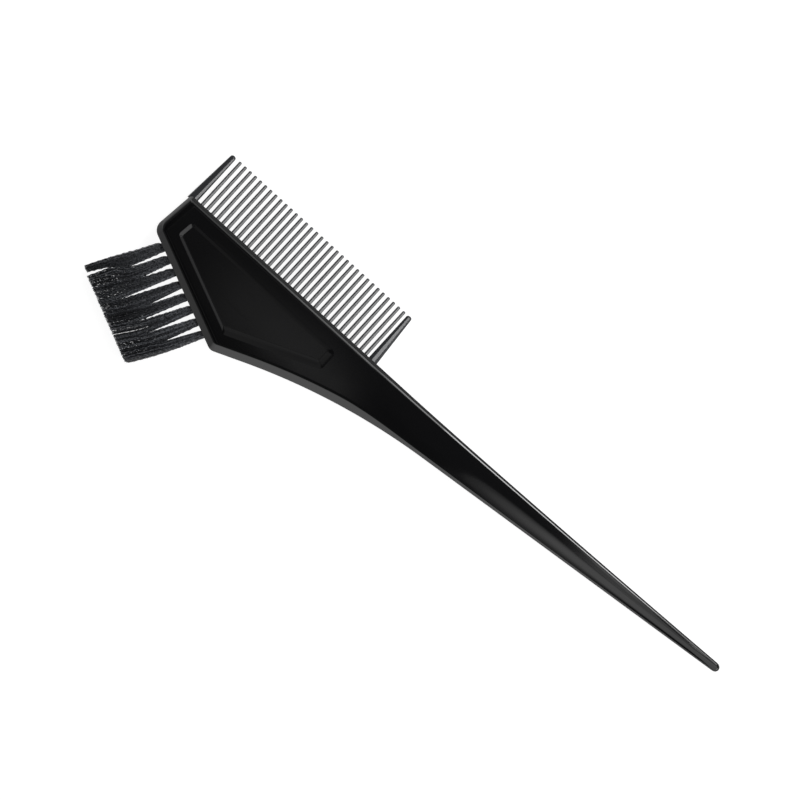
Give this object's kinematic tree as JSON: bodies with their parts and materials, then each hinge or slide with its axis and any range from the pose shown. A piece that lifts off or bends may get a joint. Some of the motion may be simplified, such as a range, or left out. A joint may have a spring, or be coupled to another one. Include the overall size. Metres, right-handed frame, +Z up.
{
  "type": "hair tint brush with comb",
  "caption": "Black moulded hair tint brush: one slanted row of nylon bristle tufts, a fine comb along the opposite edge, a thumb recess and a long tapering tail handle.",
  "frame": {"origin": "Middle of the whole brush in plan, on the plane of its flat back.", "axes": "X runs along the comb line from the bristle head to the tip of the tail, Y across the brush towards the tips of the comb's teeth, Z up out of the flat face."},
  "size_m": [0.2156, 0.066, 0.0076],
  "materials": {
    "handle_plastic": "satin moulded styrene, near black",
    "comb_plastic": "satin moulded, dark grey-black",
    "bristle_nylon": "crimped nylon filament, black",
    "anchor_wire": "flat drawn wire"
  },
  "bodies": {
    "root": {"handle": "handle_plastic", "comb": "comb_plastic", "tuft_1": "bristle_nylon", "tuft_2": "bristle_nylon", "tuft_3": "bristle_nylon", "tuft_4": "bristle_nylon", "tuft_5": "bristle_nylon", "tuft_6": "bristle_nylon", "tuft_7": "bristle_nylon", "tuft_8": "bristle_nylon", "anchor_1": "anchor_wire", "anchor_2": "anchor_wire", "anchor_3": "anchor_wire", "anchor_4": "anchor_wire", "anchor_5": "anchor_wire", "anchor_6": "anchor_wire", "anchor_7": "anchor_wire", "anchor_8": "anchor_wire"}
  },
  "joints": []
}
